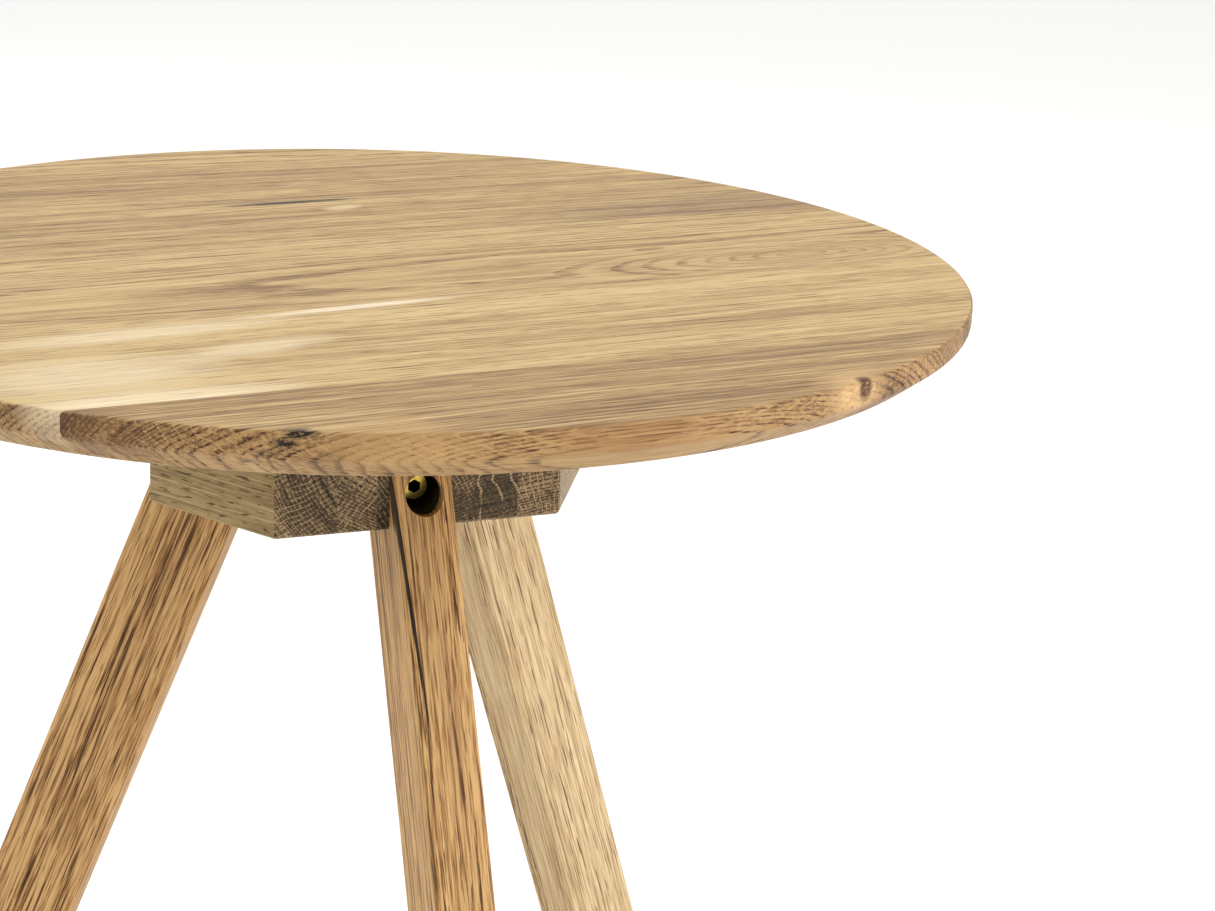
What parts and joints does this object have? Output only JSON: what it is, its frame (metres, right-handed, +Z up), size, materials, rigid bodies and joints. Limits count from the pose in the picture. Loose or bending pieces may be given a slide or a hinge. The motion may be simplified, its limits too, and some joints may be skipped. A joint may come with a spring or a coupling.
{
  "type": "three-legged round side table",
  "caption": "Round solid oak side table: an edge-glued top on a laminated hub block, with splayed bar legs housed in the hub and held by bolts.",
  "frame": {"origin": "on the floor, under the middle of the top", "axes": "+Z up, the front leg towards -Y, the right leg and the left leg 120 degrees round on either side of +Y"},
  "size_m": [0.5999, 0.6, 0.48],
  "materials": {
    "oak_top": "oiled, matt",
    "oak_hub": "oiled, matt",
    "oak_leg_brown": "oiled, matt",
    "oak_leg_pale": "oiled, matt",
    "yellow_zinc": "zinc plated, yellow passivated",
    "bright_zinc": "zinc plated",
    "felt": "pressed felt"
  },
  "bodies": {
    "root": {"top_board_1": "oak_top", "top_board_2": "oak_top", "top_board_3": "oak_top", "top_board_4": "oak_top", "top_board_5": "oak_top", "hub_stave_1": "oak_hub", "hub_stave_2": "oak_hub", "hub_stave_3": "oak_hub", "hub_stave_4": "oak_hub", "hub_stave_5": "oak_hub", "hub_stave_6": "oak_hub", "hub_stave_7": "oak_hub", "hub_stave_8": "oak_hub", "hub_stave_9": "oak_hub", "hub_stave_10": "oak_hub", "front_leg": "oak_leg_brown", "right_leg": "oak_leg_pale", "left_leg": "oak_leg_brown", "leg_bolts": "yellow_zinc", "leg_washers": "yellow_zinc", "hub_inserts": "yellow_zinc", "top_screws": "bright_zinc", "felt_pads": "felt"}
  },
  "joints": []
}
